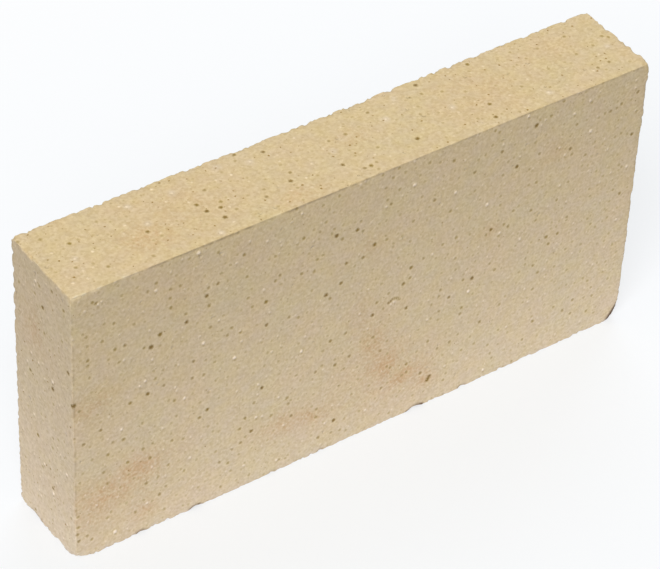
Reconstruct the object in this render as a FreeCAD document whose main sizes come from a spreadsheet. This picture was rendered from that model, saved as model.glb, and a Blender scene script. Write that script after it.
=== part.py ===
# Refractory firebrick: a thin dense fireclay brick, pressed and fired as one piece.
# It stands on one long narrow side, as it is shown: +X runs along its length, +Y through its
# thickness from the front bed face to the back one, and +Z up. The origin is the middle of its base.

import FreeCAD
import Part
import Sketcher
import os

os.makedirs("parts", exist_ok=True)
doc = FreeCAD.newDocument("Firebrick")

# Driving dimensions, in millimetres
sheet = doc.addObject("Spreadsheet::Sheet", "Sizes")
SIZES = [
    ("brick_length", 230.0, "long side of the bed face"),
    ("brick_height", 114.0, "short side of the bed face, upright as it stands"),
    ("brick_thickness", 35.5, "from bed face to bed face"),
    ("arris_radius", 1.0, "rounding that handling leaves on every arris"),
    ("right_break_length", 4.5, "foot of the broken right corner, along the length"),
    ("right_break_depth", 3.0, "the same break, into the thickness"),
    ("right_break_height", 6.5, "the same break, up the end arris"),
    ("left_break_length", 5.0, "foot of the broken left corner, along the length"),
    ("left_break_depth", 4.0, "the same break, into the thickness"),
    ("left_break_height", 3.2, "the same break, up the end arris"),
]
for row, (alias, millimetres, meaning) in enumerate(SIZES, start=1):
    sheet.set(f"A{row}", meaning)
    sheet.set(f"B{row}", str(millimetres))
    sheet.setAlias(f"B{row}", alias)
doc.recompute()

brick = doc.addObject("PartDesign::Body", "Brick")
brick.Label = "firebrick"


def origin_plane(role):
    """One of the brick's own reference planes, by its role."""
    return next(plane for plane in brick.Origin.OriginFeatures if plane.Role == role)


def sketch_on(role, name):
    """An empty sketch that lies on one of the brick's reference planes."""
    sketch = brick.newObject("Sketcher::SketchObject", name)
    sketch.AttachmentSupport = (origin_plane(role), [""])
    sketch.MapMode = "FlatFace"
    return sketch


def draw_polygon(sketch, corners):
    """Close a ring of straight lines through the corners and join them end to end."""
    points = [FreeCAD.Vector(x, y, 0) for x, y in corners]
    for start, end in zip(points, points[1:] + points[:1]):
        sketch.addGeometry(Part.LineSegment(start, end), False)
    for line in range(len(points)):
        sketch.addConstraint(Sketcher.Constraint("Coincident", line, 2, (line + 1) % len(points), 1))


def set_distance(sketch, kind, start, end, alias):
    """A horizontal or vertical distance between two sketch points, driven by one named size."""
    constraint = sketch.addConstraint(Sketcher.Constraint(kind, *start, *end, float(sheet.get(alias))))
    sketch.renameConstraint(constraint, alias)
    sketch.setExpression(f"Constraints.{alias}", f"Sizes.{alias}")


# Bed face: the outline that the press punches leave, standing on its long side about the origin
length = float(sheet.get("brick_length"))
height = float(sheet.get("brick_height"))
bed_face = sketch_on("XZ_Plane", "BedFace")
draw_polygon(bed_face, [(-length / 2, 0), (length / 2, 0), (length / 2, height), (-length / 2, height)])
for line, direction in enumerate(["Horizontal", "Vertical", "Horizontal", "Vertical"]):
    bed_face.addConstraint(Sketcher.Constraint(direction, line))
bed_face.addConstraint(Sketcher.Constraint("Symmetric", 0, 1, 0, 2, -1, 1))
set_distance(bed_face, "DistanceX", (0, 1), (0, 2), "brick_length")
set_distance(bed_face, "DistanceY", (1, 1), (1, 2), "brick_height")

# Block: the bed face carried half the thickness to each side, as it is pressed between two punches
block = brick.newObject("PartDesign::Pad", "PressedBlock")
block.Profile = bed_face
block.Midplane = True
block.setExpression("Length", "Sizes.brick_thickness")
doc.recompute()

# Arrises: the twelve edges, slightly rounded
arrises = brick.newObject("PartDesign::Fillet", "Arrises")
arrises.Base = (block, [f"Edge{number}" for number in range(1, len(block.Shape.Edges) + 1)])
arrises.setExpression("Radius", "Sizes.arris_radius")
doc.recompute()


def break_corner(side, name):
    """Knock off a lower front corner along one flat break.

    The piece that is lost is a pyramid: its foot is a right triangle on the base, with its right
    angle at the sharp corner and its legs along the length and the thickness, and its tip is on
    the end arris above. side is 1 for the corner at +X and -1 for the one at -X.
    """
    foot = sketch_on("XY_Plane", f"{name.capitalize()}BreakFoot")
    tip = sketch_on("XY_Plane", f"{name.capitalize()}BreakTip")
    for sketch in (foot, tip):
        sketch.setExpression("AttachmentOffset.Base.x", f"{side} * Sizes.brick_length / 2")
        sketch.setExpression("AttachmentOffset.Base.y", "-Sizes.brick_thickness / 2")
    tip.setExpression("AttachmentOffset.Base.z", f"Sizes.{name}_break_height")
    tip.addGeometry(Part.Point(FreeCAD.Vector(0, 0, 0)), False)
    tip.addConstraint(Sketcher.Constraint("Coincident", 0, 1, -1, 1))

    along = float(sheet.get(f"{name}_break_length"))
    across = float(sheet.get(f"{name}_break_depth"))
    draw_polygon(foot, [(0, 0), (-side * along, 0), (0, across)])
    foot.addConstraint(Sketcher.Constraint("Coincident", 0, 1, -1, 1))
    foot.addConstraint(Sketcher.Constraint("Horizontal", 0))
    foot.addConstraint(Sketcher.Constraint("Vertical", 2))
    inner_to_outer = ((0, 2), (0, 1)) if side > 0 else ((0, 1), (0, 2))
    set_distance(foot, "DistanceX", *inner_to_outer, f"{name}_break_length")
    set_distance(foot, "DistanceY", (2, 2), (2, 1), f"{name}_break_depth")

    lost = brick.newObject("PartDesign::SubtractiveLoft", f"{name.capitalize()}Break")
    lost.Profile = foot
    lost.Sections = [tip]
    before = lost.BaseFeature.Shape.Volume
    doc.recompute()
    if not lost.Shape.Volume < before:
        raise RuntimeError(f"the {name} corner's break takes nothing off the brick")


break_corner(1, "right")
break_corner(-1, "left")

# Every step has to be sound before the brick is written
doc.recompute()
for step in doc.Objects:
    if "Invalid" in step.State or "Error" in step.State:
        raise RuntimeError(f"{step.Name} failed: {step.State}")
if brick.Shape.isNull() or not brick.Shape.isValid() or len(brick.Shape.Solids) != 1:
    raise RuntimeError(f"{brick.Label} is not one sound solid")
brick.Shape.exportStep(f"parts/{brick.Label}.step")

box = brick.Shape.BoundBox
print(f"{brick.Label}: {box.XLength:.2f} x {box.YLength:.2f} x {box.ZLength:.2f} mm, "
      f"{brick.Shape.Volume / 1000:.2f} cm3, {len(brick.Shape.Faces)} faces")
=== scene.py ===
# Refractory firebrick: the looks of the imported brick, in the same frame.
# The brick's shape and patterns are worked out in millimetres, and its mesh is written in metres.

import itertools
import math

import bpy
import numpy as np
from mathutils import Matrix, Vector


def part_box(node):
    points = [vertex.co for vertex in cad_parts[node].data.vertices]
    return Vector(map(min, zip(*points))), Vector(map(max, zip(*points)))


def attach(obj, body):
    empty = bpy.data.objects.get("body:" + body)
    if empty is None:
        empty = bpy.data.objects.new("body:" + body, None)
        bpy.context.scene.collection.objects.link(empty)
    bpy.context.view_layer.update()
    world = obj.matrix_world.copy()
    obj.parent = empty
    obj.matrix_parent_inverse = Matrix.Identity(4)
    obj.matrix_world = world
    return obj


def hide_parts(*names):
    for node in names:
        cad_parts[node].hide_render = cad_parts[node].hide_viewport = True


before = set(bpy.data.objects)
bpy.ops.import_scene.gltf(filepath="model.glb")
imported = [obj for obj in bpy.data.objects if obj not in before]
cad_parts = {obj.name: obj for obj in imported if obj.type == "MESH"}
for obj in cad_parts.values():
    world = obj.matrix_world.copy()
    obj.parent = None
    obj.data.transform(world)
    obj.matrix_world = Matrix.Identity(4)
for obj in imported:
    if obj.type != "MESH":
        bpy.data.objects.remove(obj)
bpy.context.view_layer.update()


# The block
# One solid piece of dense fireclay and crushed grog, pressed between two punches in a steel mould
# and fired. Handling has rounded its arrises unevenly, bitten chips out of them, knocked off two lower
# corners and blunted two upper ones. It stands on one long narrow side.

MM = 0.001
low, high = (np.array(corner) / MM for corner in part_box("firebrick"))
centre = (low + high) / 2
half = (high - low) / 2
length, thickness, height = high - low

# Rows of the mesh: how far in from an arris the close ones are, and the even steps between them along
# the length, the thickness and the height
ARRIS_ROWS = np.array([0, 0.18, 0.40, 0.68, 1.04, 1.50, 2.10, 2.85, 3.70])
INNER_STEPS = (0.83, 1.0, 1.1)


def grid_lines(start, end, step):
    """Grid lines across one side of the block.

    Rows that widen from each end, ARRIS_ROWS, where the arrises need them, and between them even
    rows as near to step as they fit.
    """
    band = ARRIS_ROWS[-1]
    inner = np.linspace(start + band, end - band, round((end - start - 2 * band) / step) + 1)
    return np.concatenate([start + ARRIS_ROWS[:-1], inner, (end - ARRIS_ROWS[:-1])[::-1]])


# Gap between the faces on the flat map that their colours are baked on
MAP_GAP = 2.0


def map_corner(axis, end):
    """Where one face lies on the flat map of the block, as its lower corner in mm.

    The two bed faces stand side by side, the ends stand beside them, and the long narrow sides lie
    one above the other over the bed faces.
    """
    beside = height + MAP_GAP
    if axis == 0:
        return 2 * beside, end * beside
    if axis == 1:
        return end * beside, 0.0
    return 0.0, length + MAP_GAP + end * (thickness + MAP_GAP)


MAP_SIDE = length + 2 * (thickness + MAP_GAP)


def sharp_block(lines):
    """The six flat faces of the sharp block as one closed net of quads.

    On each face two of the three coordinates run over their grid lines and the third stays at one
    end. A point's number counts its three grid lines, so faces that meet share the points of their
    arris. Returns the points, the four corners of each quad facing outwards, the place of each quad
    corner on the flat map, and the face that each quad is on, as axis and end.
    """
    counts = np.array([len(along) for along in lines])
    strides = np.array([1, counts[0], counts[0] * counts[1]])
    quads, places, faces = [], [], []
    for axis, end in itertools.product(range(3), (0, 1)):
        across, up = (axis + 1) % 3, (axis + 2) % 3
        i, j = np.meshgrid(np.arange(counts[across] - 1), np.arange(counts[up] - 1), indexing="ij")
        ring = [(0, 0), (1, 0), (1, 1), (0, 1)][::1 if end else -1]
        plane = end * (counts[axis] - 1) * strides[axis]
        u, v = map_corner(axis, end)
        numbers = [plane + (i + a) * strides[across] + (j + b) * strides[up] for a, b in ring]
        spots = [[u + lines[across][i + a] - low[across], v + lines[up][j + b] - low[up]] for a, b in ring]
        quads.append(np.stack(numbers, axis=-1).reshape(-1, 4))
        places.append(np.moveaxis(np.array(spots), (0, 1), (2, 3)).reshape(-1, 4, 2))
        faces.append(np.tile([axis, end], (quads[-1].shape[0], 1)))
    used, quads = np.unique(np.concatenate(quads), return_inverse=True)
    steps = (used % strides[1], used // strides[1] % counts[1], used // strides[2])
    points = np.stack([along[step] for along, step in zip(lines, steps)], axis=1)
    return points, quads.reshape(-1, 4), np.concatenate(places) / MAP_SIDE, np.concatenate(faces)


NOISE_REACH = 0.7


def gradient_noise(points, size, seed):
    """Smooth random relief, about -NOISE_REACH to NOISE_REACH, with bumps about as wide as size.

    Each corner of a cubic lattice has a random unit arrow. A point takes the dot product of its
    offset from each of its cell's eight corners with that corner's arrow, blended by the fade curve
    6t^5 - 15t^4 + 10t^3 along each axis.
    """
    draw = np.random.default_rng(seed)
    shuffle = draw.permutation(256)
    arrows = draw.normal(size=(256, 3))
    arrows /= np.linalg.norm(arrows, axis=1, keepdims=True)
    cell = np.floor(points / size).astype(int)
    local = points / size - cell
    fade = local ** 3 * (local * (local * 6 - 15) + 10)
    total = np.zeros(len(points))
    for corner in itertools.product((0, 1), repeat=3):
        x, y, z = (cell + corner).T
        arrow = arrows[shuffle[(shuffle[(shuffle[x & 255] + y) & 255] + z) & 255]]
        weight = np.where(corner, fade, 1 - fade).prod(axis=1)
        total += weight * ((local - corner) * arrow).sum(axis=1)
    return total


def soft_max(a, b, blend):
    """The larger of two distances, rounded off where they come within blend of each other."""
    share = np.clip(0.5 + 0.5 * (a - b) / blend, 0, 1)
    return b + (a - b) * share + blend * share * (1 - share)


# Front corners knocked off or blunted: which way each one points, and how far its break runs along each side
LOWER_RIGHT, LOWER_LEFT, UPPER_RIGHT, UPPER_LEFT = (1, -1, -1), (-1, -1, -1), (1, -1, 1), (-1, -1, 1)
BROKEN_CORNERS = {
    LOWER_RIGHT: (4.5, 3.0, 6.5),
    LOWER_LEFT: (5.0, 4.0, 3.2),
    UPPER_RIGHT: (1.8, 1.8, 1.8),
    UPPER_LEFT: (1.5, 1.2, 1.4),
}
BREAK_EDGE = 2.0
BREAK_GRAIN, BREAK_GRAIN_SIZE = 0.35, 1.6

# Arrises: which way each one points, with its rounding and the depth of the bites along it
TOP_FRONT, TOP_BACK, TOP_LEFT, TOP_RIGHT = (0, -1, 1), (0, 1, 1), (-1, 0, 1), (1, 0, 1)
BOTTOM_FRONT, BOTTOM_BACK, BOTTOM_LEFT, BOTTOM_RIGHT = (0, -1, -1), (0, 1, -1), (-1, 0, -1), (1, 0, -1)
LEFT_FRONT, LEFT_BACK, RIGHT_FRONT, RIGHT_BACK = (-1, -1, 0), (-1, 1, 0), (1, -1, 0), (1, 1, 0)
ARRISES = {
    TOP_FRONT: (0.25, 0.25),
    TOP_BACK: (0.12, 0.48),
    TOP_LEFT: (0.30, 0.55),
    TOP_RIGHT: (0.12, 0.35),
    BOTTOM_FRONT: (0.50, 0.40),
    BOTTOM_BACK: (0.35, 0.40),
    BOTTOM_LEFT: (0.40, 0.70),
    BOTTOM_RIGHT: (0.50, 0.60),
    LEFT_FRONT: (0.25, 0.25),
    LEFT_BACK: (0.30, 0.34),
    RIGHT_FRONT: (1.10, 0.26),
    RIGHT_BACK: (0.30, 0.40),
}
WEAR_REACH = 4.0
ROUNDING_LIMITS = (0.15, 3.0)

# Bites, as their widths and shares of an arris's depth, and the sand grains that have crumbled out of it
BITE_REACH = 1.6
BITE_SIZES = ((8, 0.7), (4, 0.9), (2, 0.8))
SAND_REACH, SAND_SIZE = 0.8, 1.4
CRUMBLE_SHARE = 1.1

# Chips out of the arrises: the arris, the place along it from its low end, the chip's width along the
# arris, its depth from the sharp arris, and its tone from dark (-1), dirt and painted shade, to fresh (1)
CHIPS = [
    (BOTTOM_FRONT, 25.5, 4.5, 0.8, -0.6),
    (BOTTOM_FRONT, 47.1, 5.0, 1.0, -0.8),
    (BOTTOM_FRONT, 77.8, 2.8, 0.8, -0.3),
    (BOTTOM_FRONT, 98.0, 2.4, 0.8, -0.3),
    (BOTTOM_FRONT, 138.5, 7.0, 1.0, -0.9),
    (BOTTOM_FRONT, 159.0, 3.2, 0.9, -0.4),
    (TOP_FRONT, 2.4, 1.8, 0.6, 0.9),
    (TOP_FRONT, 5.2, 1.5, 0.5, 0.6),
    (TOP_FRONT, 8.2, 2.2, 0.7, 0.9),
    (TOP_FRONT, 11.0, 1.4, 0.4, 0.5),
    (TOP_FRONT, 19.5, 2.4, 0.5, 0.5),
    (TOP_FRONT, 76.0, 2.6, 0.6, 0.4),
    (TOP_BACK, 49.0, 4.0, 0.6, 0.0),
    (TOP_BACK, 89.5, 3.4, 1.0, 0.0),
    (TOP_BACK, 93.0, 2.8, 0.9, 0.0),
    (TOP_BACK, 104.5, 3.2, 1.1, 0.0),
    (TOP_BACK, 119.5, 3.2, 1.2, 0.0),
    (TOP_BACK, 134.5, 3.4, 1.1, 0.0),
    (TOP_BACK, 157.0, 3.4, 0.8, 0.0),
    (TOP_BACK, 181.5, 4.2, 0.8, 0.0),
    (TOP_BACK, 203.3, 4.0, 0.7, 0.0),
    (TOP_BACK, 229.6, 3.4, 0.8, 0.2),
    (TOP_RIGHT, 8.0, 5.0, 1.1, 0.3),
    (BOTTOM_LEFT, 10.5, 7.0, 1.3, 0.0),
    (BOTTOM_LEFT, 26.0, 8.0, 1.1, -0.3),
    (LEFT_BACK, 92.5, 2.6, 0.9, 0.0),
    (LEFT_BACK, 85.8, 3.0, 0.9, 0.0),
    (LEFT_FRONT, 69.4, 1.8, 0.5, -0.2),
]
CHIP_EDGE = 0.2

# Stretches where an arris has crumbled to pale clay: the arris, where it starts and ends, and how pale it is
CRUMBLED = [
    (TOP_FRONT, -2.0, 13.0, 0.9),
    (TOP_FRONT, 17.0, 26.0, 0.5),
    (TOP_FRONT, 71.0, 80.0, 0.5),
    (LEFT_FRONT, 92.0, 116.0, 0.7),
    (LEFT_FRONT, -2.0, 94.0, 0.4),
    (TOP_LEFT, -2.0, 8.0, 0.6),
]
CRUMB_DEPTH, CRUMB_SIZE, CRUMB_REACH = 0.30, 1.9, 0.7
CRUMB_FADE = 2.0

# Dark lines just inside the front bed face's upper and left arrises: how far in, how wide, the strength
# along the upper one at places from the left, and the strength along the left one
DARK_LINE_IN = 0.60
DARK_LINE_WIDTH = 0.40
DARK_LINE_UPPER = [
    (15, 0.10), (22, 0.45), (66, 0.45), (72, 0.20), (78, 0.40), (110, 0.40), (116, 0.20), (230, 0.20),
]
DARK_LINE_LEFT = 0.25

# Painted shade on the lower right break where it turns under: how soft its edge is, and how far back from the
# front it thins out
UNDER_SHADE_EDGE, UNDER_SHADE_REACH = 0.7, 1.6

# Sag of the upper back arris, with its middle and reach along the length, and the faces' waves and grain
BACK_SAG = 0.33
SAG_MIDDLE, SAG_REACH = -15.0, 48.0
WAVE_DEPTH, WAVE_SIZE = 0.10, 23.0
RELIEF_DEPTH, RELIEF_SIZE = 0.05, 3.1


def arris_wear(points):
    """The rounding at each point and the depth of the bites there.

    Each arris has its own two values. A point takes their mean, weighted by a bell curve of its
    distance from each arris, so they change smoothly around the corners.
    """
    total = np.full(len(points), 1e-9)
    wear = np.zeros((2, len(points)))
    for toward, values in ARRISES.items():
        aside = (half - (points - centre) * toward) * np.abs(toward)
        weight = np.exp(-(aside ** 2).sum(axis=1) / WEAR_REACH ** 2)
        total += weight
        wear += weight * np.array(values)[:, None]
    return wear / total


def arris_distance(points):
    """How far each point is from the nearest arris.

    The root of the sum of squares of its two smallest distances to the faces.
    """
    to_faces = np.sort(half - np.abs(points - centre), axis=1)
    return np.hypot(to_faces[:, 0], to_faces[:, 1])


def chip_ball(toward, place, width, depth):
    """The ball that a chip is bitten out by: its centre and radius.

    The ball's surface runs depth inside the sharp arris at the chip's middle and meets the arris
    half the width to each side.
    """
    toward = np.array(toward)
    radius = (width ** 2 / 4 + depth ** 2) / (2 * depth)
    on_arris = np.where(toward == 0, low + place, centre + half * toward)
    return on_arris + (radius - depth) * toward / np.linalg.norm(toward), radius


def break_depth(points, toward, legs):
    """How far outside a corner's flat break each point is."""
    from_corner = half - (points - centre) * toward
    return (1 - (from_corner / legs).sum(axis=1)) / np.linalg.norm(1 / np.array(legs))


def crumb_strength(points):
    """How much of each point has crumbled, from 0 to 1.

    Along each crumbled stretch it falls off with the distance from the arris as a bell curve, fades
    within CRUMB_FADE of the stretch's ends, and is broken into crumbs by noise.
    """
    crumbs = np.clip(0.05 + 2.8 * gradient_noise(points, CRUMB_SIZE, 44), 0, 1)
    total = np.zeros(len(points))
    for toward, start, end, strength in CRUMBLED:
        aside = (half - (points - centre) * toward) * np.abs(toward)
        place = (points - low)[:, toward.index(0)]
        stretch = np.clip((place - start) / CRUMB_FADE, 0, 1) * np.clip((end - place) / CRUMB_FADE, 0, 1)
        near = np.exp(-(aside ** 2).sum(axis=1) / CRUMB_REACH ** 2)
        total = np.maximum(total, strength * stretch * near)
    return total * crumbs


def worn_surface(sharp):
    """Carry the sharp block's points inwards until they lie on the worn surface.

    The way in is towards the block shrunk by CORE_DEPTH, so points near an arris travel at a slant.
    Each step goes by most of the distance that is left to the worn surface: the largest of the
    rounded block, the flat breaks at the knocked-off corners and the chips' balls, each one roughened
    by noise. Sand grains have crumbled out of the arrises where a fine noise is above zero.
    """
    CORE_DEPTH = 9.0
    STEPS = 24
    STEP_SHARE = 0.8
    core = np.clip(sharp, low + CORE_DEPTH, high - CORE_DEPTH)
    way_in = (core - sharp) / np.linalg.norm(core - sharp, axis=1, keepdims=True)
    rounding, bite_depth = arris_wear(sharp)
    uneven = 1 + 0.9 * gradient_noise(sharp, 7.0, 11) + 0.7 * gradient_noise(sharp, 2.4, 12)
    radius = np.clip(rounding * uneven, *ROUNDING_LIMITS)[:, None]
    from_arris = arris_distance(sharp)
    near_arris = np.exp(-(from_arris / BITE_REACH) ** 2)
    bites = sum(share * gradient_noise(sharp, size, 20 + size) for size, share in BITE_SIZES)
    bites = np.clip(bites, 0, None)
    along, across, up = ((sharp - centre) * (1, 1 / half[1], 1 / half[2])).T
    upper_back = np.clip(across, 0, 1) ** 3 * np.clip(up, 0, 1) ** 8
    sand = np.clip(2.5 * gradient_noise(sharp, SAND_SIZE, 23), 0, 1)
    crumbled = sand * np.exp(-(from_arris / SAND_REACH) ** 2)
    relief = (
        bite_depth * bites * near_arris
        + CRUMBLE_SHARE * bite_depth * crumbled
        + CRUMB_DEPTH * crumb_strength(sharp)
        + BACK_SAG * upper_back * np.exp(-((along - SAG_MIDDLE) / SAG_REACH) ** 2)
        + WAVE_DEPTH * (NOISE_REACH + gradient_noise(sharp, WAVE_SIZE, 31))
        + RELIEF_DEPTH * (NOISE_REACH + gradient_noise(sharp, RELIEF_SIZE, 32))
    )
    grain = BREAK_GRAIN * gradient_noise(sharp, BREAK_GRAIN_SIZE, 41)
    balls = [chip_ball(*chip[:4]) for chip in CHIPS]

    depth = np.zeros(len(sharp))
    for _ in range(STEPS):
        points = sharp + depth[:, None] * way_in
        beyond = np.abs(points - centre) - (half - radius)
        rounded = np.linalg.norm(np.clip(beyond, 0, None), axis=1) - radius[:, 0]
        outside = rounded + np.clip(beyond.max(axis=1), None, 0) + relief
        for toward, legs in BROKEN_CORNERS.items():
            outside = soft_max(outside, break_depth(points, toward, legs) + grain, BREAK_EDGE)
        for middle, reach in balls:
            outside = soft_max(outside, reach - np.linalg.norm(points - middle, axis=1) + grain, CHIP_EDGE)
        depth += STEP_SHARE * np.clip(outside, 0, None)
    return sharp + depth[:, None] * way_in


def chip_tone(points):
    """How fresh, or dark with dirt and painted shade, each point is, from -1 to 1.

    A chip's tone holds on its own bite and fades within half a millimetre of it, or within a whole one
    where it is dark. The broken lower right corner has painted shade where it turns under, most of all at
    the front, and thin dark lines lie just inside the front bed face's upper and left arrises.
    """
    tone = np.zeros(len(points))
    for *shape, strength in CHIPS:
        middle, reach = chip_ball(*shape)
        spread = 0.5 if strength > 0 else 1.0
        inside = reach + spread - np.linalg.norm(points - middle, axis=1)
        tone += strength * np.clip(inside / spread, 0, 1)
    tone *= np.clip(1 + 2 * gradient_noise(points, 1.5, 43), 0, None)
    # Painted shade on the underside of the lower right break, darkest at the front
    past_break = break_depth(points, LOWER_RIGHT, BROKEN_CORNERS[LOWER_RIGHT])
    painted_under_shade = np.clip(past_break / UNDER_SHADE_EDGE + 2.1, 0, 1)
    painted_under_shade *= np.clip(1.3 - (points[:, 1] - low[1]) / UNDER_SHADE_REACH, 0.3, 1)
    below, beside = high[2] - points[:, 2], points[:, 0] - low[0]
    dark_lines = np.exp(-((below - DARK_LINE_IN) / DARK_LINE_WIDTH) ** 2) * np.interp(beside, *zip(*DARK_LINE_UPPER))
    dark_lines += np.exp(-((beside - DARK_LINE_IN) / DARK_LINE_WIDTH) ** 2) * DARK_LINE_LEFT
    dark_lines *= np.clip((low[1] + 0.5 - points[:, 1]) / 0.5, 0, 1) * (1 + 2 * gradient_noise(points, 3.0, 42))
    return np.clip(tone - painted_under_shade - dark_lines, -1, 1)


sharp_points, quads, map_places, quad_faces = sharp_block(
    [grid_lines(*ends) for ends in zip(low, high, INNER_STEPS)]
)
points = worn_surface(sharp_points)
tone = np.clip(chip_tone(points) + crumb_strength(sharp_points), -1, 1)

brick_mesh = bpy.data.meshes.new("firebrick_body")
brick_mesh.from_pydata(points * MM, [], quads)
brick_mesh.polygons.foreach_set("use_smooth", np.ones(len(quads), bool))
brick_mesh.attributes.new("chip_tone", "FLOAT", "POINT").data.foreach_set("value", tone)
brick_mesh.uv_layers.new(name="OFBake").data.foreach_set("uv", map_places.ravel())
brick = bpy.data.objects.new("firebrick_body", brick_mesh)
bpy.context.scene.collection.objects.link(brick)
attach(brick, "root")
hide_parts("firebrick")


# Iron spots and grog grains
# Specks of iron mineral in the clay melt in the kiln and leave brown spots, and crushed white grog
# shows through the skin.

FRONT, BACK, TOP, LEFT_END, RIGHT_END = (1, 0), (1, 1), (2, 1), (0, 0), (0, 1)

# Plain marks, listed where they are on the real brick: the place on its face, across from the
# left or back arris and down from the upper or back one, and the radius. On the front, close rows of
# spots make a short slot and a curved scratch.
IRON_SPOTS = {
    FRONT: [
        (29.2, 33.3, 0.85), (32.6, 29.6, 0.75), (42.6, 29.1, 0.65), (28.0, 52.7, 0.65),
        (21.3, 53.4, 0.55), (50.1, 21.6, 0.60), (51.1, 26.1, 0.50), (36.6, 20.3, 0.50),
        (54.3, 18.4, 0.50), (5.9, 27.9, 0.50), (15.9, 27.9, 0.50), (19.6, 28.0, 0.50),
        (45.4, 47.1, 0.50), (87.1, 14.3, 0.50), (100.3, 19.1, 0.70), (108.6, 20.3, 0.65),
        (73.2, 34.8, 0.65), (73.6, 44.8, 0.55), (86.9, 29.1, 0.50), (104.9, 32.7, 0.55),
        (111.6, 33.3, 0.50), (103.1, 40.4, 0.55), (97.2, 42.9, 0.70), (98.9, 45.2, 0.45),
        (181.4, 7.1, 0.85), (116.1, 29.7, 0.65), (174.5, 21.6, 0.60), (156.3, 16.4, 0.50),
        (167.3, 12.4, 0.50), (132.1, 46.8, 0.65), (129.3, 52.7, 0.55), (165.7, 45.1, 0.60),
        (163.8, 46.6, 0.45), (223.3, 53.9, 0.50), (225.4, 28.6, 0.55), (225.7, 10.7, 0.50),
        (197.7, 23.6, 0.50), (10.2, 59.7, 0.50), (3.9, 62.7, 0.50), (18.8, 68.0, 0.50),
        (12.9, 71.7, 0.50), (20.3, 78.9, 0.50), (28.9, 81.3, 0.50), (27.4, 92.1, 0.50),
        (32.6, 99.9, 0.50), (51.1, 71.0, 0.60), (48.0, 73.0, 0.50), (72.6, 71.9, 0.65),
        (66.1, 82.4, 0.50), (64.1, 86.3, 0.50), (68.8, 89.6, 0.60), (85.0, 90.7, 0.50),
        (56.3, 97.6, 0.45), (59.7, 99.7, 0.45), (100.0, 64.3, 0.50), (102.4, 76.1, 0.55),
        (103.0, 101.9, 0.65), (95.5, 96.6, 0.45), (117.1, 60.9, 0.60), (131.3, 64.2, 0.55),
        (145.7, 62.9, 0.45), (155.4, 62.7, 0.45), (159.3, 63.7, 0.70), (149.7, 67.9, 0.50),
        (191.1, 59.5, 0.55), (196.2, 60.1, 0.50), (155.7, 75.4, 0.50), (164.5, 86.0, 0.50),
        (151.6, 89.3, 0.45), (139.6, 97.9, 0.50), (143.0, 102.8, 0.72), (143.4, 102.1, 0.78),
        (143.8, 101.4, 0.72), (189.1, 97.1, 0.50), (202.7, 98.4, 0.45), (123.6, 58.5, 0.50),
        (124.4, 57.9, 0.50), (125.2, 57.4, 0.46), (126.0, 57.5, 0.46), (126.8, 57.9, 0.44),
        (127.5, 58.3, 0.44), (128.1, 58.7, 0.42), (214.3, 104.1, 0.45), (124.6, 87.6, 0.42),
        (126.2, 88.8, 0.40), (131.6, 95.0, 0.42), (133.4, 94.4, 0.42), (64.1, 10.9, 0.50),
        (122.0, 15.1, 0.45), (117.9, 71.1, 0.45), (155.3, 78.0, 0.45), (186.4, 70.2, 0.45),
        (0.7, 44.4, 0.70), (15.6, 17.0, 0.45), (31.2, 7.8, 0.45), (28.0, 9.8, 0.44), (36.5, 12.6, 0.42),
        (36.3, 16.3, 0.45), (11.3, 22.4, 0.42), (42.3, 25.5, 0.44), (30.9, 47.5, 0.42),
        (34.0, 52.0, 0.44), (45.0, 54.2, 0.45), (38.2, 60.6, 0.44), (26.2, 76.0, 0.45),
        (11.2, 78.8, 0.44), (23.2, 103.0, 0.45), (78.4, 25.9, 0.46), (76.6, 27.4, 0.44),
        (92.9, 25.8, 0.44), (82.6, 45.7, 0.42), (106.2, 63.7, 0.45), (94.4, 75.6, 0.44),
        (108.2, 75.0, 0.46), (83.0, 81.7, 0.45), (64.7, 92.9, 0.46), (95.6, 92.9, 0.44),
        (96.8, 106.7, 0.46), (140.0, 21.3, 0.48), (147.0, 7.7, 0.48), (131.7, 26.5, 0.44),
        (118.6, 56.0, 0.45), (171.3, 45.3, 0.45), (173.2, 46.9, 0.46), (169.0, 64.3, 0.45),
        (142.0, 84.3, 0.46), (146.3, 89.7, 0.44), (192.4, 63.2, 0.48), (188.9, 74.5, 0.45),
        (187.4, 81.5, 0.42), (214.2, 14.3, 0.45), (199.5, 14.0, 0.44), (207.0, 95.4, 0.44),
        (8.0, 5.0, 0.46), (9.2, 5.9, 0.45), (1.2, 98.5, 0.48), (1.0, 101.5, 0.48), (1.4, 104.8, 0.50),
        (6.2, 106.5, 0.46), (4.6, 104.0, 0.44),
    ],
    TOP: [
        (82.1, 2.1, 0.62), (90.9, 5.9, 0.60), (13.8, 12.4, 0.57), (57.6, 17.6, 0.60), (58.6, 21.9, 0.66),
        (61.9, 27.4, 0.78), (63.4, 22.6, 0.60), (65.0, 20.2, 0.47), (37.4, 20.5, 0.57),
        (89.8, 23.3, 0.62), (92.1, 19.6, 0.47), (78.8, 25.9, 0.47), (108.8, 25.4, 0.60),
        (113.9, 30.5, 0.47), (18.1, 28.3, 0.47), (154.5, 3.0, 0.74), (176.3, 2.9, 0.60),
        (137.6, 27.1, 0.74), (166.6, 31.4, 0.62), (169.1, 24.7, 0.57), (116.4, 30.6, 0.57),
        (225.6, 14.3, 0.47), (227.2, 16.0, 0.42), (214.4, 7.6, 0.47), (218.1, 27.4, 0.47),
        (212.9, 27.9, 0.47), (9.4, 23.4, 0.43), (131.9, 6.9, 0.47), (118.9, 12.6, 0.43),
    ],
    LEFT_END: [
        (18.5, 15.6, 0.60), (33.1, 31.9, 0.60), (23.4, 46.1, 0.75), (35.0, 44.6, 0.60),
        (13.0, 74.2, 0.60), (21.8, 91.2, 0.55), (9.5, 48.4, 0.50), (9.7, 110.7, 0.45), (24.4, 4.8, 0.45),
        (31.2, 7.7, 0.45),
    ],
}
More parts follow.
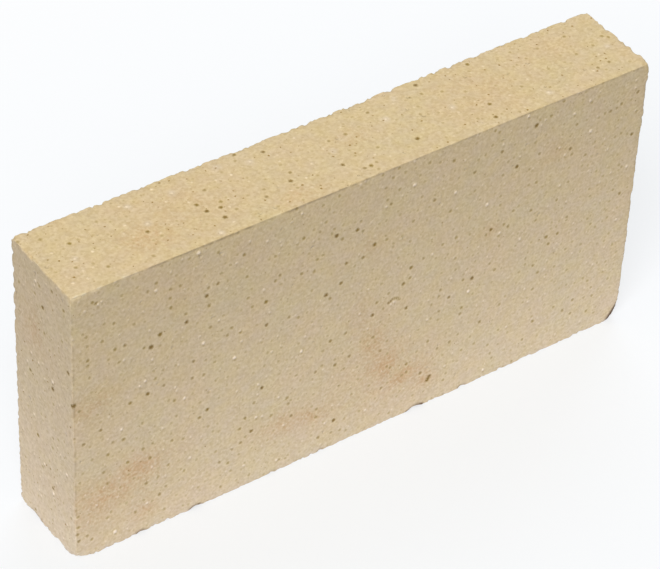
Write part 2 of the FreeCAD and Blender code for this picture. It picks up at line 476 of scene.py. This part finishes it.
GROG_GRAINS = {
    FRONT: [
        (46.8, 2.4, 0.90), (31.0, 10.6, 0.55), (49.1, 41.0, 0.65), (61.3, 53.1, 0.70),
        (27.1, 46.6, 0.50), (25.0, 47.7, 0.50), (131.1, 11.0, 0.75), (119.9, 15.3, 0.45),
        (148.7, 21.6, 0.55), (163.0, 32.9, 0.70), (206.0, 19.4, 0.75), (197.9, 8.7, 0.50),
        (177.6, 1.6, 0.60), (194.7, 38.1, 0.45), (225.0, 42.5, 0.55), (179.1, 55.0, 0.50),
        (18.1, 63.0, 0.55), (42.1, 61.4, 0.60), (88.1, 63.1, 0.60), (71.1, 69.6, 0.45),
        (70.6, 84.1, 0.50), (10.0, 6.6, 0.44), (11.2, 6.0, 0.42), (124.6, 59.4, 0.42),
        (125.9, 59.0, 0.46), (15.2, 107.8, 0.75), (158.1, 69.0, 0.75), (168.1, 110.1, 0.55),
        (72.9, 9.1, 0.45),
    ],
    TOP: [
        (38.6, 6.4, 0.40), (39.6, 17.0, 0.37), (11.4, 19.6, 0.37), (56.6, 33.4, 0.35),
        (190.0, 30.0, 0.42), (135.0, 12.9, 0.35), (157.4, 19.4, 0.35), (84.5, 7.9, 0.35),
        (54.3, 8.3, 0.35),
    ],
    LEFT_END: [
        (23.4, 43.0, 0.80), (14.4, 7.5, 0.60), (14.9, 41.3, 0.50), (10.8, 66.5, 0.50),
        (30.7, 77.7, 0.72), (16.5, 84.2, 0.55), (21.9, 93.4, 0.85),
    ],
}


# Share of the wide cells with a plain mark on the faces that have none placed, and the room that faint
# marks leave around the placed ones
PLAIN_SHARE = 0.8
CLEARANCE = 2.2


def strewn_marks(face_size, spacing, share, smallest, largest, taken, clear, draw):
    """Marks strewn over a face between those already on it.

    The face is divided into cells as wide as spacing. A share of them hold one mark, at a random
    place in the cell, and its radius runs between the smallest and the largest size, with small ones
    the most common. A mark nearer than clear to a taken place is left out.
    """
    cells = np.stack(np.meshgrid(*(np.arange(side // spacing) for side in face_size)), -1).reshape(-1, 2)
    cells = cells[draw.random(len(cells)) < share]
    spots = (cells + draw.random(cells.shape)) * spacing
    radii = smallest + (largest - smallest) * draw.random(len(spots)) ** 3
    gaps = np.linalg.norm(spots[:, None] - taken[None, :, :2], axis=2)
    return np.column_stack([spots, radii])[gaps.min(axis=1, initial=np.inf) > clear]


def store_marks(name, placed, spacings, shares, sizes, seed):
    """Give every quad the centre and radius of the mark nearest to it in radii, for the finish to draw.

    The finish then compares a point's own place with that centre, so a mark is as fine as the
    render, however wide the quads are. Faint marks are strewn over every face, and plain ones over the
    faces that have none placed: spacings holds a cell's width for each kind, and sizes the smallest
    radius, the one between the two kinds and the largest. The shares of cells with a faint mark are
    those for the ends, the bed faces and the long sides.
    """
    draw = np.random.default_rng(seed)
    middles = points[quads].mean(axis=1)
    centres = np.zeros((len(quads), 3))
    radii = np.zeros(len(quads))
    for face in itertools.product(range(3), (0, 1)):
        axis, end = face
        across, down = (1, 2) if axis == 0 else (0, 3 - axis)
        face_size = (2 * half)[[across, down]]
        taken = np.array(IRON_SPOTS.get(face, []) + GROG_GRAINS.get(face, [])).reshape(-1, 3)
        if face in placed:
            plain = np.array(placed[face])
        else:
            plain = strewn_marks(face_size, spacings[1], PLAIN_SHARE, sizes[1], sizes[2], taken, 0, draw)
            taken = plain
        faint = strewn_marks(face_size, spacings[0], shares[axis], sizes[0], sizes[1], taken, CLEARANCE, draw)
        marks = np.concatenate([plain, faint])
        spots = np.empty((len(marks), 3))
        spots[:, axis] = high[axis] if end else low[axis]
        spots[:, across] = high[across] - marks[:, 0] if axis == 0 else low[across] + marks[:, 0]
        spots[:, down] = high[down] - marks[:, 1]
        here = np.flatnonzero((quad_faces == face).all(axis=1))
        gaps = ((middles[here][:, None] - spots[None]) ** 2).sum(axis=2) / marks[:, 2] ** 2
        nearest = gaps.argmin(axis=1)
        centres[here] = spots[nearest]
        radii[here] = marks[nearest, 2]
    centre_store = brick_mesh.attributes.new(f"{name}_centre", "FLOAT_VECTOR", "FACE")
    centre_store.data.foreach_set("vector", centres.ravel())
    radius_store = brick_mesh.attributes.new(f"{name}_radius", "FLOAT", "FACE")
    radius_store.data.foreach_set("value", radii)


store_marks("iron", IRON_SPOTS, (4.2, 13.0), (0.18, 0.56, 0.30), (0.24, 0.44, 0.85), 51)
store_marks("grog", GROG_GRAINS, (6.5, 25.0), (0.60, 0.50, 0.45), (0.26, 0.46, 0.75), 52)


# Stains
# The kiln's flame leaves faint tan patches, the ends are a little paler, and salts drawn out in drying
# leave a few pale spots on top. Each patch has its place on its face, as the iron spots do, its reach each
# way and its strength.

STAINS = {
    FRONT: [
        (6.0, 47.0, 10.0, 6.0, 0.40), (6.0, 91.0, 9.0, 7.0, 0.25), (15.0, 88.0, 9.0, 6.0, 0.32),
        (26.0, 83.0, 8.0, 5.0, 0.60), (27.0, 104.5, 4.0, 3.0, 0.60), (112.0, 60.0, 6.0, 9.0, 0.20),
        (118.0, 73.0, 5.0, 6.0, 0.55), (124.0, 86.0, 6.0, 6.0, 0.60), (133.0, 95.5, 7.0, 4.0, 0.70),
        (142.5, 101.5, 4.0, 3.0, 0.60), (122.0, 90.0, 26.0, 18.0, 0.22), (83.0, 93.0, 9.0, 5.0, 0.40),
        (95.0, 95.5, 7.0, 4.0, 0.40), (70.0, 91.0, 12.0, 7.0, 0.10), (115.0, 30.0, 5.0, 4.0, 0.30),
        (16.0, 93.0, 22.0, 15.0, 0.26), (164.5, 45.5, 4.0, 3.0, 0.40), (193.0, 23.0, 5.0, 4.0, 0.30),
        (40.0, 17.0, 6.0, 12.0, 0.15),
    ],
    TOP: [
        (35.0, 23.0, 8.0, 6.0, 0.45), (52.0, 16.0, 20.0, 16.0, 0.15), (89.0, 31.0, 9.0, 4.0, 0.30),
        (120.0, 15.0, 6.0, 5.0, 0.20), (172.0, 17.0, 18.0, 14.0, 0.15), (206.0, 13.0, 9.0, 8.0, 0.10),
    ],
    LEFT_END: [(12.5, 29.5, 6.0, 8.0, 0.65), (22.0, 88.0, 5.0, 4.0, 0.30)],
    BACK: [
        (38.0, 30.0, 12.0, 7.0, 0.30), (72.0, 84.0, 16.0, 8.0, 0.35), (90.0, 78.0, 8.0, 6.0, 0.30),
        (150.0, 52.0, 18.0, 9.0, 0.25), (196.0, 92.0, 12.0, 8.0, 0.40), (208.0, 24.0, 9.0, 6.0, 0.25),
    ],
    RIGHT_END: [(14.0, 36.0, 7.0, 9.0, 0.35), (24.0, 82.0, 6.0, 8.0, 0.30)],
}
STAIN_FADE = 1.5
END_PALENESS = 0.35
SALT_SPOTS = [
    (38.8, 6.6), (39.6, 17.2), (11.4, 19.8), (56.6, 33.2), (74.0, 4.6), (84.5, 7.9), (54.3, 8.3),
    (110.5, 18.0), (135.0, 12.9), (144.0, 5.4), (157.5, 19.5), (190.2, 30.2), (223.5, 20.0),
]
SALT_REACH = 1.3


def stain_strength(places):
    """How stained each point is: the bell curves of its face's patches, added and broken up by noise.

    A face's stains fade within STAIN_FADE behind it.
    """
    ragged = 1 + 0.7 * gradient_noise(places, 6.0, 61) + 1.0 * gradient_noise(places, 2.2, 62)
    total = np.zeros(len(places))
    for (axis, end), patches in STAINS.items():
        across = high[1] - places[:, 1] if axis == 0 else places[:, 0] - low[0]
        down = high[1] - places[:, 1] if axis == 2 else high[2] - places[:, 2]
        behind = high[axis] - places[:, axis] if end else places[:, axis] - low[axis]
        on_face = np.clip(1 - behind / STAIN_FADE, 0, 1)
        for x, y, reach_x, reach_y, strength in patches:
            total += on_face * strength * np.exp(-((across - x) / reach_x) ** 2 - ((down - y) / reach_y) ** 2)
    return np.clip(total * ragged, 0, 1)


def paleness_strength(places):
    """How pale each point is, on the ends and with dried salts on top.

    END_PALENESS on the two ends, and a bell curve at each salt spot on top.
    """
    behind = half[0] - np.abs(places[:, 0] - centre[0])
    on_top = np.clip((places[:, 2] - high[2] + 1.0) / 0.5, 0, 1)
    spots = np.zeros(len(places))
    for x, y in SALT_SPOTS:
        aside = np.hypot(places[:, 0] - low[0] - x, high[1] - places[:, 1] - y)
        spots += np.exp(-(aside / SALT_REACH) ** 2)
    return np.maximum(END_PALENESS * np.clip((0.6 - behind) / 0.5, 0, 1), spots * on_top)


brick_mesh.attributes.new("stain", "FLOAT", "POINT").data.foreach_set("value", stain_strength(points))
brick_mesh.attributes.new("paleness", "FLOAT", "POINT").data.foreach_set("value", paleness_strength(points))


# Fireclay finish
# Unglazed fireclay, dry-pressed and fired: a matt sandy skin of buff clay and fine quartz, mottled
# from khaki to pinkish, with open grain. It scatters all its light and shows no gloss.


def linear(hex_colour):
    """An sRGB hex colour as linear red, green, blue and alpha: the sRGB curve undone on each channel."""
    channels = [int(hex_colour[i:i + 2], 16) / 255 for i in (0, 2, 4)]
    return [c / 12.92 if c <= 0.04045 else ((c + 0.055) / 1.055) ** 2.4 for c in channels] + [1.0]


def add_node(tree, kind, settings=None, inputs=None):
    """Add a node, set its properties, and give its inputs values or links from other nodes' outputs."""
    node = tree.nodes.new(kind)
    for name, value in (settings or {}).items():
        setattr(node, name, value)
    for name, value in (inputs or {}).items():
        if isinstance(value, bpy.types.NodeSocket):
            tree.links.new(value, node.inputs[name])
        else:
            node.inputs[name].default_value = value
    return node


# Widths of the patterns in mm: patches of colour, powder and sand, and cells with one pore or dent each
WIDE_PATCH, NARROW_PATCH = 16.0, 5.0
POWDER_SIZE, SAND_GRAIN = 1.1, 0.9
PORE_CELL, DENT_CELL = 2.3, 6.0

fireclay = bpy.data.materials.new("dry_pressed_fireclay")
fireclay.use_nodes = True
clay = fireclay.node_tree
surface = clay.nodes["Principled BSDF"]
brick_mesh.materials.append(fireclay)

place = add_node(clay, "ShaderNodeTexCoord").outputs["Object"]
place_mm = add_node(clay, "ShaderNodeVectorMath", {"operation": "SCALE"},
                    {0: place, "Scale": 1 / MM}).outputs[0]

# Mottling: wide patches from khaki to pinkish buff, and narrow ones that are more golden
wide = add_node(clay, "ShaderNodeTexNoise",
                inputs={"Vector": place_mm, "Scale": 1 / WIDE_PATCH, "Detail": 3.0}).outputs["Fac"]
narrow = add_node(clay, "ShaderNodeTexNoise",
                  inputs={"Vector": place_mm, "Scale": 1 / NARROW_PATCH, "Detail": 3.0}).outputs["Fac"]
wide_patch = add_node(clay, "ShaderNodeMapRange",
                      inputs={"Value": wide, "From Min": 0.32, "From Max": 0.68}).outputs[0]
narrow_patch = add_node(clay, "ShaderNodeMapRange",
                        inputs={"Value": narrow, "From Min": 0.32, "From Max": 0.68}).outputs[0]
buff = add_node(clay, "ShaderNodeMix", {"data_type": "RGBA"},
                {0: wide_patch, 6: linear("d1be9c"), 7: linear("d4be9e")}).outputs[2]
golden = add_node(clay, "ShaderNodeMix", {"data_type": "RGBA"},
                  {0: wide_patch, 6: linear("d3bf95"), 7: linear("d5be97")}).outputs[2]
mottled = add_node(clay, "ShaderNodeMix", {"data_type": "RGBA"},
                   {0: narrow_patch, 6: buff, 7: golden}).outputs[2]

# Stains, freckled by a fine powder, the paler ends and salts on the top
powder = add_node(clay, "ShaderNodeTexNoise",
                  inputs={"Vector": place_mm, "Scale": 1 / POWDER_SIZE, "Detail": 3.0}).outputs["Fac"]
powder_level = add_node(clay, "ShaderNodeMapRange",
                        inputs={"Value": powder, "From Min": 0.25, "From Max": 0.75}).outputs[0]
stain = add_node(clay, "ShaderNodeAttribute", {"attribute_name": "stain"}).outputs["Fac"]
paleness = add_node(clay, "ShaderNodeAttribute", {"attribute_name": "paleness"}).outputs["Fac"]
freckles = add_node(clay, "ShaderNodeMapRange",
                    inputs={"Value": powder_level, "From Min": 0.75, "From Max": 0.25,
                            "To Min": 0.5, "To Max": 1.5}).outputs[0]
flame_mark = add_node(clay, "ShaderNodeMath", {"operation": "MULTIPLY", "use_clamp": True},
                      {0: stain, 1: freckles}).outputs[0]
flamed = add_node(clay, "ShaderNodeMix", {"data_type": "RGBA"},
                  {0: flame_mark, 6: mottled, 7: linear("ccaa80")}).outputs[2]
stained = add_node(clay, "ShaderNodeMix", {"data_type": "RGBA"},
                   {0: paleness, 6: flamed, 7: linear("d8c6ad")}).outputs[2]

# Sand grains of different tone, packed side by side, over the powder: the dark ones are more golden
grain = add_node(clay, "ShaderNodeTexVoronoi", inputs={"Vector": place_mm, "Scale": 1 / SAND_GRAIN})
grain_level = add_node(clay, "ShaderNodeSeparateColor", inputs={0: grain.outputs["Color"]}).outputs[0]
grain_tone = add_node(clay, "ShaderNodeMix", {"data_type": "VECTOR"},
                      {0: grain_level, 4: (0.94, 0.93, 0.90), 5: (1.06, 1.07, 1.10)}).outputs[1]
powder_tone = add_node(clay, "ShaderNodeMix", {"data_type": "VECTOR"},
                       {0: powder_level, 4: (0.92, 0.90, 0.87), 5: (1.08, 1.10, 1.13)}).outputs[1]
sand_tone = add_node(clay, "ShaderNodeVectorMath", {"operation": "MULTIPLY"},
                     {0: grain_tone, 1: powder_tone}).outputs[0]
sandy = add_node(clay, "ShaderNodeVectorMath", {"operation": "MULTIPLY"},
                 {0: stained, 1: sand_tone}).outputs[0]

# Each point's place is shaken a little before it is compared with a mark's centre, for ragged rims
SHAKE, SHAKE_SIZE = 0.7, 0.6
shake = add_node(clay, "ShaderNodeTexNoise",
                 inputs={"Vector": place_mm, "Scale": 1 / SHAKE_SIZE, "Detail": 1.0}).outputs["Color"]
shaken = add_node(clay, "ShaderNodeVectorMath", {"operation": "MULTIPLY_ADD"},
                  {0: shake, 1: (SHAKE, SHAKE, SHAKE), 2: place_mm}).outputs[0]
centred = add_node(clay, "ShaderNodeVectorMath", {"operation": "SUBTRACT"},
                   {0: shaken, 1: (SHAKE / 2, SHAKE / 2, SHAKE / 2)}).outputs[0]

# Open pores, one to a cell and of every size, with a little rusty dust in them. A pit's floor is a
# share of the width of its rim.
PIT_FLOOR = 0.3
pores = add_node(clay, "ShaderNodeTexVoronoi", inputs={"Vector": centred, "Scale": 1 / PORE_CELL})
pore_rim = add_node(clay, "ShaderNodeMapRange",
                    inputs={"Value": pores.outputs["Color"], "From Min": 0.2, "From Max": 1.0,
                            "To Min": 0.02, "To Max": 0.27}).outputs[0]
pore_floor = add_node(clay, "ShaderNodeMath", {"operation": "MULTIPLY"},
                      {0: pore_rim, 1: PIT_FLOOR}).outputs[0]
pore = add_node(clay, "ShaderNodeMapRange", {"interpolation_type": "SMOOTHSTEP"},
                {"Value": pores.outputs["Distance"], "From Min": pore_rim, "From Max": pore_floor}).outputs[0]
rustiness = add_node(clay, "ShaderNodeMapRange",
                     inputs={"Value": stain, "To Min": 0.85, "To Max": 1.0}).outputs[0]
pore_tint = add_node(clay, "ShaderNodeMath", {"operation": "MULTIPLY"}, {0: pore, 1: rustiness}).outputs[0]
open_clay = add_node(clay, "ShaderNodeMix", {"data_type": "RGBA"},
                     {0: pore_tint, 6: sandy, 7: linear("9a7428")}).outputs[2]

# Dents, wider apart, that the press left unfilled
dents = add_node(clay, "ShaderNodeTexVoronoi", inputs={"Vector": centred, "Scale": 1 / DENT_CELL})
dent_rim = add_node(clay, "ShaderNodeMapRange",
                    inputs={"Value": dents.outputs["Color"], "From Min": 0.35, "From Max": 0.7,
                            "To Min": 0.02, "To Max": 0.17}).outputs[0]
dent_floor = add_node(clay, "ShaderNodeMath", {"operation": "MULTIPLY"},
                      {0: dent_rim, 1: PIT_FLOOR}).outputs[0]
dent = add_node(clay, "ShaderNodeMapRange", {"interpolation_type": "SMOOTHSTEP"},
                {"Value": dents.outputs["Distance"], "From Min": dent_rim, "From Max": dent_floor}).outputs[0]

# Iron spots, golden and faint where they are small, dark rust where they are large, each with a pale
# rim, and white grog with a painted shadow below each grain. Each kind has its smallest and largest
# width, its faintest and plainest strength, and the radius from which it is plain. A mark fades from
# its core to its edge, which are shares of its width.
MARK_LOOKS = {"iron": ((0.52, 0.96), (0.18, 0.845), 0.60), "grog": ((0.42, 0.78), (0.22, 1.0), 0.62)}
LEAST_RADIUS, MOST_RADIUS = 0.2, 0.9
MARK_CORE, MARK_EDGE = 0.3, 1.5
HALO_CORE, HALO_EDGE, HALO_STRENGTH = 1.4, 2.4, 0.14
# Painted shadow below each grog grain: its offset from the grain's centre, the distances in mm within which
# it is full and beyond which it is gone, and its strength
GRAIN_SHADOW_OFFSET = (0.1, 0, -1.15)
GRAIN_SHADOW_CORE, GRAIN_SHADOW_EDGE, GRAIN_SHADOW_STRENGTH = 0.2, 0.8, 0.35
masks = {}
for mark, (widths, strengths, plain_from) in MARK_LOOKS.items():
    mark_centre = add_node(clay, "ShaderNodeAttribute",
                           {"attribute_name": f"{mark}_centre"}).outputs["Vector"]
    mark_radius = add_node(clay, "ShaderNodeAttribute", {"attribute_name": f"{mark}_radius"}).outputs["Fac"]
    gap = add_node(clay, "ShaderNodeVectorMath", {"operation": "DISTANCE"},
                   {0: centred, 1: mark_centre}).outputs["Value"]
    reach = add_node(clay, "ShaderNodeMapRange",
                     inputs={"Value": mark_radius, "From Min": LEAST_RADIUS, "From Max": MOST_RADIUS,
                             "To Min": widths[0], "To Max": widths[1]}).outputs[0]
    ratio = add_node(clay, "ShaderNodeMath", {"operation": "DIVIDE"}, {0: gap, 1: reach}).outputs[0]
    disc = add_node(clay, "ShaderNodeMapRange", {"interpolation_type": "SMOOTHSTEP"},
                    {"Value": ratio, "From Min": MARK_EDGE, "From Max": MARK_CORE}).outputs[0]
    plainness = add_node(clay, "ShaderNodeMapRange",
                         inputs={"Value": mark_radius, "From Min": LEAST_RADIUS, "From Max": plain_from,
                                 "To Min": strengths[0], "To Max": strengths[1]}).outputs[0]
    masks[mark] = add_node(clay, "ShaderNodeMath", {"operation": "MULTIPLY"},
                           {0: disc, 1: plainness}).outputs[0]
    if mark == "iron":
        iron_centre, iron_radius = mark_centre, mark_radius
        halo = add_node(clay, "ShaderNodeMapRange", {"interpolation_type": "SMOOTHSTEP"},
                        {"Value": ratio, "From Min": HALO_EDGE, "From Max": HALO_CORE,
                         "To Max": HALO_STRENGTH}).outputs[0]
    else:
        # Painted shadow: a dark disc just below each grog grain, where shade would fall
        under = add_node(clay, "ShaderNodeVectorMath", {"operation": "ADD"},
                         {0: mark_centre, 1: GRAIN_SHADOW_OFFSET}).outputs[0]
        gap_under = add_node(clay, "ShaderNodeVectorMath", {"operation": "DISTANCE"},
                             {0: centred, 1: under}).outputs["Value"]
        painted_grain_shadow = add_node(clay, "ShaderNodeMapRange", {"interpolation_type": "SMOOTHSTEP"},
                          {"Value": gap_under, "From Min": GRAIN_SHADOW_EDGE, "From Max": GRAIN_SHADOW_CORE,
                           "To Max": GRAIN_SHADOW_STRENGTH}).outputs[0]
        shaded = add_node(clay, "ShaderNodeMath", {"operation": "MULTIPLY"},
                          {0: painted_grain_shadow, 1: plainness}).outputs[0]

# Large iron spots melt to a darker rust, each one a little more or less than its size says
melt = add_node(clay, "ShaderNodeMapRange",
                inputs={"Value": iron_radius, "From Min": 0.4, "From Max": 0.75}).outputs[0]
chance = add_node(clay, "ShaderNodeTexWhiteNoise", inputs={"Vector": iron_centre}).outputs["Value"]
either_way = add_node(clay, "ShaderNodeMath", {"operation": "SUBTRACT"}, {0: chance, 1: 0.5}).outputs[0]
darkness = add_node(clay, "ShaderNodeMath", {"operation": "ADD", "use_clamp": True},
                    {0: melt, 1: either_way}).outputs[0]
rust = add_node(clay, "ShaderNodeMix", {"data_type": "RGBA"},
                {0: darkness, 6: linear("8a711a"), 7: linear("725500")}).outputs[2]
haloed = add_node(clay, "ShaderNodeMix", {"data_type": "RGBA"},
                  {0: halo, 6: open_clay, 7: linear("ead4a8")}).outputs[2]
spotted = add_node(clay, "ShaderNodeMix", {"data_type": "RGBA"},
                   {0: masks["iron"], 6: haloed, 7: rust}).outputs[2]
# Painted shadow below each grog grain, in dark brown
grain_shadowed = add_node(clay, "ShaderNodeMix", {"data_type": "RGBA"},
                    {0: shaded, 6: spotted, 7: linear("8f7240")}).outputs[2]
grogged = add_node(clay, "ShaderNodeMix", {"data_type": "RGBA"},
                   {0: masks["grog"], 6: grain_shadowed, 7: linear("ffebce")}).outputs[2]

# Chips: dark brown in the old ones and on the broken corner's underside, partly dirt and partly painted
# shade, and pale clay in the fresh ones
chip = add_node(clay, "ShaderNodeAttribute", {"attribute_name": "chip_tone"}).outputs["Fac"]
soil_and_shade = add_node(clay, "ShaderNodeMapRange", inputs={"Value": chip, "From Min": 0, "From Max": -1}).outputs[0]
fresh = add_node(clay, "ShaderNodeMapRange", inputs={"Value": chip, "To Max": 0.65}).outputs[0]
# Dirt and painted shade, in dark brown
soiled_and_shaded = add_node(clay, "ShaderNodeMix", {"data_type": "RGBA"},
                  {0: soil_and_shade, 6: grogged, 7: linear("5f4630")}).outputs[2]
finished = add_node(clay, "ShaderNodeMix", {"data_type": "RGBA"},
                    {0: fresh, 6: soiled_and_shaded, 7: linear("eadfc8")}).outputs[2]
clay.links.new(finished, surface.inputs["Base Color"])

# Relief in mm: the powder's grain, with pores, dents and iron spots sunk and grog standing proud
POWDER_RELIEF = 0.15
MARK_RELIEF = [(pore, -0.14), (dent, -0.25), (masks["iron"], -0.12), (masks["grog"], 0.20)]
relief = add_node(clay, "ShaderNodeMath", {"operation": "MULTIPLY"}, {0: powder, 1: POWDER_RELIEF}).outputs[0]
for form, rise in MARK_RELIEF:
    relief = add_node(clay, "ShaderNodeMath", {"operation": "MULTIPLY_ADD"},
                      {0: form, 1: rise, 2: relief}).outputs[0]
bump = add_node(clay, "ShaderNodeBump", inputs={"Strength": 1.0, "Distance": MM, "Height": relief})
clay.links.new(bump.outputs["Normal"], surface.inputs["Normal"])
surface.inputs["Roughness"].default_value = 0.95
surface.inputs["Specular IOR Level"].default_value = 0.1


# Floor
# A sheet of white paper that the brick stands on. To the eye it fades into the white surround and
# keeps the brick's soft shadow. It throws cool light up the brick from a margin around it.

FLOOR_REACH = 6.0
GLOW_REACH, GLOW_STRENGTH = 0.38, 1.3
FADE_START, FADE_END, LEAST_WHITE = 0.05, 0.5, 0.55
floor_mesh = bpy.data.meshes.new("floor")
corners = FLOOR_REACH * np.array([(-1, -1, 0), (1, -1, 0), (1, 1, 0), (-1, 1, 0)])
floor_mesh.from_pydata(corners, [], [(0, 1, 2, 3)])
floor = bpy.data.objects.new("floor", floor_mesh)
bpy.context.scene.collection.objects.link(floor)

paper = bpy.data.materials.new("white_paper")
paper.use_nodes = True
sheet = paper.node_tree
floor_mesh.materials.append(paper)
sheet.nodes.remove(sheet.nodes["Principled BSDF"])
floor_place = add_node(sheet, "ShaderNodeTexCoord").outputs["Object"]
from_middle = add_node(sheet, "ShaderNodeVectorMath", {"operation": "ABSOLUTE"}, {0: floor_place}).outputs[0]
past_brick = add_node(sheet, "ShaderNodeVectorMath", {"operation": "SUBTRACT"},
                      {0: from_middle, 1: half * (1, 1, 0) * MM}).outputs[0]
beside = add_node(sheet, "ShaderNodeVectorMath", {"operation": "MAXIMUM"},
                  {0: past_brick, 1: (0, 0, 0)}).outputs[0]
away = add_node(sheet, "ShaderNodeVectorMath", {"operation": "LENGTH"}, {0: beside}).outputs["Value"]
margin = add_node(sheet, "ShaderNodeMapRange", {"interpolation_type": "SMOOTHSTEP"},
                  {"Value": away, "From Min": GLOW_REACH, "From Max": 0.0}).outputs[0]
thrown = add_node(sheet, "ShaderNodeMath", {"operation": "MULTIPLY"},
                  {0: margin, 1: GLOW_STRENGTH}).outputs[0]
throwing = add_node(sheet, "ShaderNodeEmission", inputs={"Color": linear("dae2ff"), "Strength": thrown})
matt = add_node(sheet, "ShaderNodeBsdfDiffuse", inputs={"Color": linear("eff4ff")})
white = add_node(sheet, "ShaderNodeEmission", inputs={"Color": (1, 1, 1, 1), "Strength": 1.0})
whiteness = add_node(sheet, "ShaderNodeMapRange", {"interpolation_type": "SMOOTHSTEP"},
                     {"Value": away, "From Min": FADE_START, "From Max": FADE_END,
                      "To Min": LEAST_WHITE, "To Max": 1.0}).outputs[0]
look = add_node(sheet, "ShaderNodeMixShader", inputs={0: whiteness, 1: matt.outputs[0], 2: white.outputs[0]})
seen = add_node(sheet, "ShaderNodeLightPath").outputs["Is Camera Ray"]
floor_finish = add_node(sheet, "ShaderNodeMixShader",
                        inputs={0: seen, 1: throwing.outputs[0], 2: look.outputs[0]})
sheet.links.new(floor_finish.outputs[0], sheet.nodes["Material Output"].inputs["Surface"])


# Light
# A broad warm softbox above and to the left of the camera, a cooler one over the brick's far side,
# and a dim, faintly warm surround that the camera sees as white.


def softbox(name, place, aim, size, watts, colour):
    """A square soft lamp at a place, turned to face its aim."""
    lamp = bpy.data.lights.new(name, "AREA")
    lamp.size = size
    lamp.energy = watts
    lamp.color = linear(colour)[:3]
    box = bpy.data.objects.new(name, lamp)
    box.location = place
    box.rotation_euler = (Vector(aim) - Vector(place)).to_track_quat("-Z", "Y").to_euler()
    bpy.context.scene.collection.objects.link(box)


softbox("key_softbox", (-6.3, -6.0, 8.7), (0, 0, 0.05), 7.5, 1118.0, "fffcf5")
softbox("back_softbox", (1.9, 2.1, 2.9), (0, 0, 0.05), 2.5, 37.0, "eef3ff")

SURROUND_STRENGTH = 0.46
surround = bpy.data.worlds.new("surround")
surround.use_nodes = True
bpy.context.scene.world = surround
air = surround.node_tree
direct = add_node(air, "ShaderNodeLightPath").outputs["Is Camera Ray"]
strength = add_node(air, "ShaderNodeMapRange",
                    inputs={"Value": direct, "To Min": SURROUND_STRENGTH, "To Max": 1.0}).outputs[0]
shade = add_node(air, "ShaderNodeMix", {"data_type": "RGBA"},
                 {0: direct, 6: linear("fffff3"), 7: (1, 1, 1, 1)}).outputs[2]
air.links.new(shade, air.nodes["Background"].inputs["Color"])
air.links.new(strength, air.nodes["Background"].inputs["Strength"])


# Camera
# A long lens, looking down past the brick's left front corner and tipped a little to the right.

CAMERA_PLACE = (-0.4643, -0.6118, 0.7047)
CAMERA_AZIMUTH = math.radians(-37.01)
CAMERA_ELEVATION = math.radians(40.24)
CAMERA_ROLL = math.radians(2.96)
LENS_MM, SENSOR_MM = 162.3, 36.0

back = Vector((
    math.sin(CAMERA_AZIMUTH) * math.cos(CAMERA_ELEVATION),
    -math.cos(CAMERA_AZIMUTH) * math.cos(CAMERA_ELEVATION),
    math.sin(CAMERA_ELEVATION),
))
level = Vector((math.cos(CAMERA_AZIMUTH), math.sin(CAMERA_AZIMUTH), 0))
right = math.cos(CAMERA_ROLL) * level + math.sin(CAMERA_ROLL) * back.cross(level)
turn = Matrix((right, back.cross(right), back)).transposed()

lens = bpy.data.cameras.new("camera")
lens.lens = LENS_MM
lens.sensor_width = SENSOR_MM
camera = bpy.data.objects.new("camera", lens)
camera.matrix_world = Matrix.Translation(CAMERA_PLACE) @ turn.to_4x4()
bpy.context.scene.collection.objects.link(camera)
bpy.context.scene.camera = camera
bpy.context.scene.view_settings.view_transform = "Standard"
